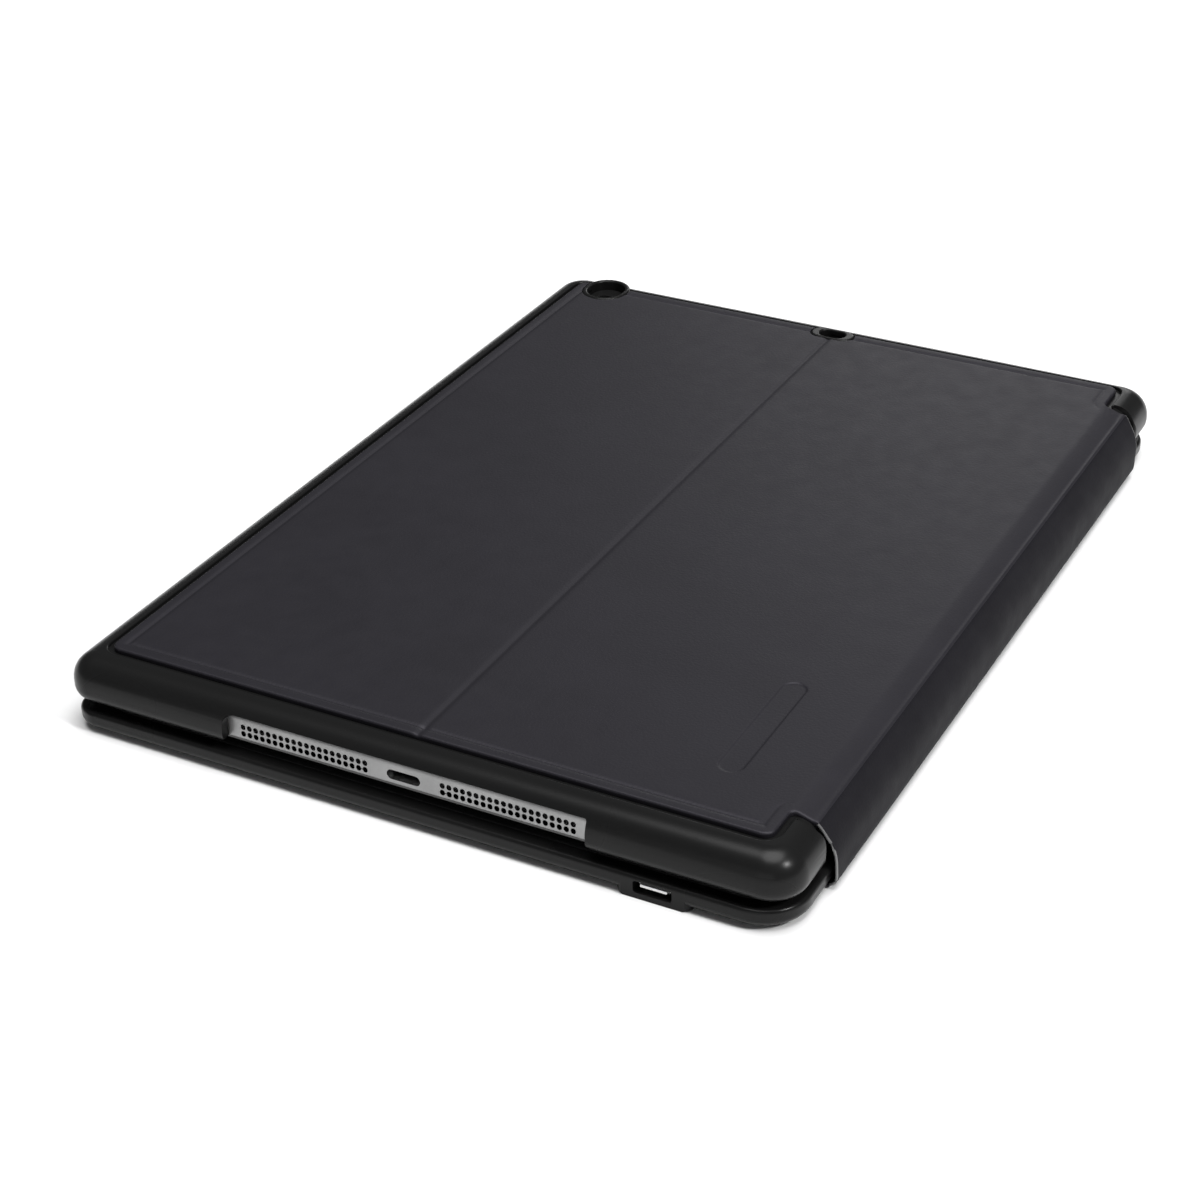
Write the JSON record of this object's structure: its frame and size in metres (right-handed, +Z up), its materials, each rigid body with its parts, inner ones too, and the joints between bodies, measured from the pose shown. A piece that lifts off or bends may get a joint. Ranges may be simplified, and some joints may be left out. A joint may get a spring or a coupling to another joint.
{
  "type": "tablet keyboard case",
  "caption": "Folio keyboard case for a tablet: a hard tray holds the tablet, a folding back panel props it up, and a thin keyboard base closes over the screen.",
  "frame": {"origin": "on the surface that the closed case lies on, under the middle of its outline", "axes": "+X towards the short side with the tablet's port and speakers, +Y towards the spine, +Z up, through the closed case"},
  "size_m": [0.245, 0.1792, 0.0183],
  "materials": {
    "satin_plastic": "satin black hard plastic with a fine moulded grain",
    "deck_plastic": "soft-touch dark grey",
    "laminate": "matte polyurethane laminate with a fine pebble grain",
    "stiffener": "bare fibre board",
    "keycap": "fine matte black",
    "membrane": "translucent sheet",
    "circuit_board": "green solder mask",
    "battery_foil": "dull foil pouch",
    "plated_steel": "bright plated",
    "tablet_aluminium": "bead-blasted anodised",
    "black_glass": "black-backed cover glass",
    "rubber": "matte",
    "switch_plastic": "satin",
    "light_pipe": "clear"
  },
  "bodies": {
    "base": {"base_bottom_shell": "satin_plastic", "bottom_cover": "laminate", "keyboard_deck": "deck_plastic", "key_membrane": "membrane", "circuit_board": "circuit_board", "battery": "battery_foil", "micro_usb_port": "plated_steel", "docking_magnet_left": "plated_steel", "docking_magnet_right": "plated_steel", "docking_strip": "rubber", "status_light": "light_pipe", "deck_bumper_left": "rubber", "deck_bumper_right": "rubber", "front_left_foot": "rubber", "front_right_foot": "rubber", "rear_left_foot": "rubber", "rear_right_foot": "rubber"},
    "edge_bar": {"tray_edge_bar": "plated_steel"},
    "tray": {"tray_shell": "satin_plastic", "front_panel_cover": "laminate", "tablet_housing": "tablet_aluminium", "tablet_glass": "black_glass", "camera_lens": "black_glass", "tablet_connector": "plated_steel"},
    "prop": {"prop_cover": "laminate", "prop_board": "stiffener"},
    "spine": {"spine_cover": "laminate", "spine_board": "stiffener"},
    "function_key_row": {"function_key_row": "keycap"},
    "number_key_row": {"number_key_row": "keycap"},
    "upper_letter_key_row": {"upper_letter_key_row": "keycap"},
    "home_key_row": {"home_key_row": "keycap"},
    "lower_letter_key_row": {"lower_letter_key_row": "keycap"},
    "bottom_left_keys": {"bottom_left_keys": "keycap"},
    "space_bar": {"space_bar": "keycap"},
    "bottom_right_keys": {"bottom_right_keys": "keycap"},
    "power_switch": {"power_switch": "switch_plastic"},
    "pairing_button": {"pairing_button": "switch_plastic"},
    "home_button": {"home_button": "black_glass"},
    "sleep_button": {"sleep_button": "tablet_aluminium"},
    "volume_rocker": {"volume_rocker": "tablet_aluminium"}
  },
  "joints": [
    {"name": "dock_slide", "type": "slide", "parent": "base", "child": "edge_bar", "axis": [0, -0.9963, -0.0863], "range_m": [0, 0.03012]},
    {"name": "tray_tilt", "type": "hinge", "parent": "edge_bar", "child": "tray", "pos_m": [0, 0.0847, 0.01192], "axis": [-1, 0, 0], "range_deg": [0, 106.72]},
    {"name": "panel_fold", "type": "hinge", "parent": "tray", "child": "prop", "pos_m": [0, -0.0022, 0.0183], "axis": [1, 0, 0], "range_deg": [0, 28.7]},
    {"name": "spine_fold", "type": "hinge", "parent": "base", "child": "spine", "pos_m": [0, 0.0879, 0.0022], "axis": [-1, 0, 0], "range_deg": [0, 90.01]},
    {"name": "function_row_press", "type": "slide", "parent": "base", "child": "function_key_row", "axis": [0, 0, -1], "range_m": [0, 0.001], "stiffness_N_per_m": 400},
    {"name": "number_row_press", "type": "slide", "parent": "base", "child": "number_key_row", "axis": [0, 0, -1], "range_m": [0, 0.001], "stiffness_N_per_m": 400},
    {"name": "upper_letter_row_press", "type": "slide", "parent": "base", "child": "upper_letter_key_row", "axis": [0, 0, -1], "range_m": [0, 0.001], "stiffness_N_per_m": 400},
    {"name": "home_row_press", "type": "slide", "parent": "base", "child": "home_key_row", "axis": [0, 0, -1], "range_m": [0, 0.001], "stiffness_N_per_m": 400},
    {"name": "lower_letter_row_press", "type": "slide", "parent": "base", "child": "lower_letter_key_row", "axis": [0, 0, -1], "range_m": [0, 0.001], "stiffness_N_per_m": 400},
    {"name": "bottom_left_keys_press", "type": "slide", "parent": "base", "child": "bottom_left_keys", "axis": [0, 0, -1], "range_m": [0, 0.001], "stiffness_N_per_m": 400},
    {"name": "space_bar_press", "type": "slide", "parent": "base", "child": "space_bar", "axis": [0, 0, -1], "range_m": [0, 0.001], "stiffness_N_per_m": 400},
    {"name": "bottom_right_keys_press", "type": "slide", "parent": "base", "child": "bottom_right_keys", "axis": [0, 0, -1], "range_m": [0, 0.001], "stiffness_N_per_m": 400},
    {"name": "power_switch_slide", "type": "slide", "parent": "base", "child": "power_switch", "axis": [0, 1, 0], "range_m": [0, 0.0018]},
    {"name": "pairing_button_press", "type": "slide", "parent": "base", "child": "pairing_button", "axis": [0, 0, -1], "range_m": [0, 0.0004], "stiffness_N_per_m": 600},
    {"name": "home_button_press", "type": "slide", "parent": "tray", "child": "home_button", "axis": [0, 0, 1], "range_m": [0, 0.0003], "stiffness_N_per_m": 800},
    {"name": "sleep_button_press", "type": "slide", "parent": "tray", "child": "sleep_button", "axis": [1, 0, 0], "range_m": [0, 0.0003], "stiffness_N_per_m": 800},
    {"name": "volume_rocker_press", "type": "slide", "parent": "tray", "child": "volume_rocker", "axis": [0, 1, 0], "range_m": [0, 0.0003], "stiffness_N_per_m": 800}
  ],
  "couplings": [
    {"joint": "dock_slide", "follows": "tray_tilt", "m_per_rad": 0.016166},
    {"joint": "panel_fold", "follows": "tray_tilt", "ratio": 0.26875},
    {"joint": "spine_fold", "follows": "tray_tilt", "ratio": 0.84331}
  ]
}
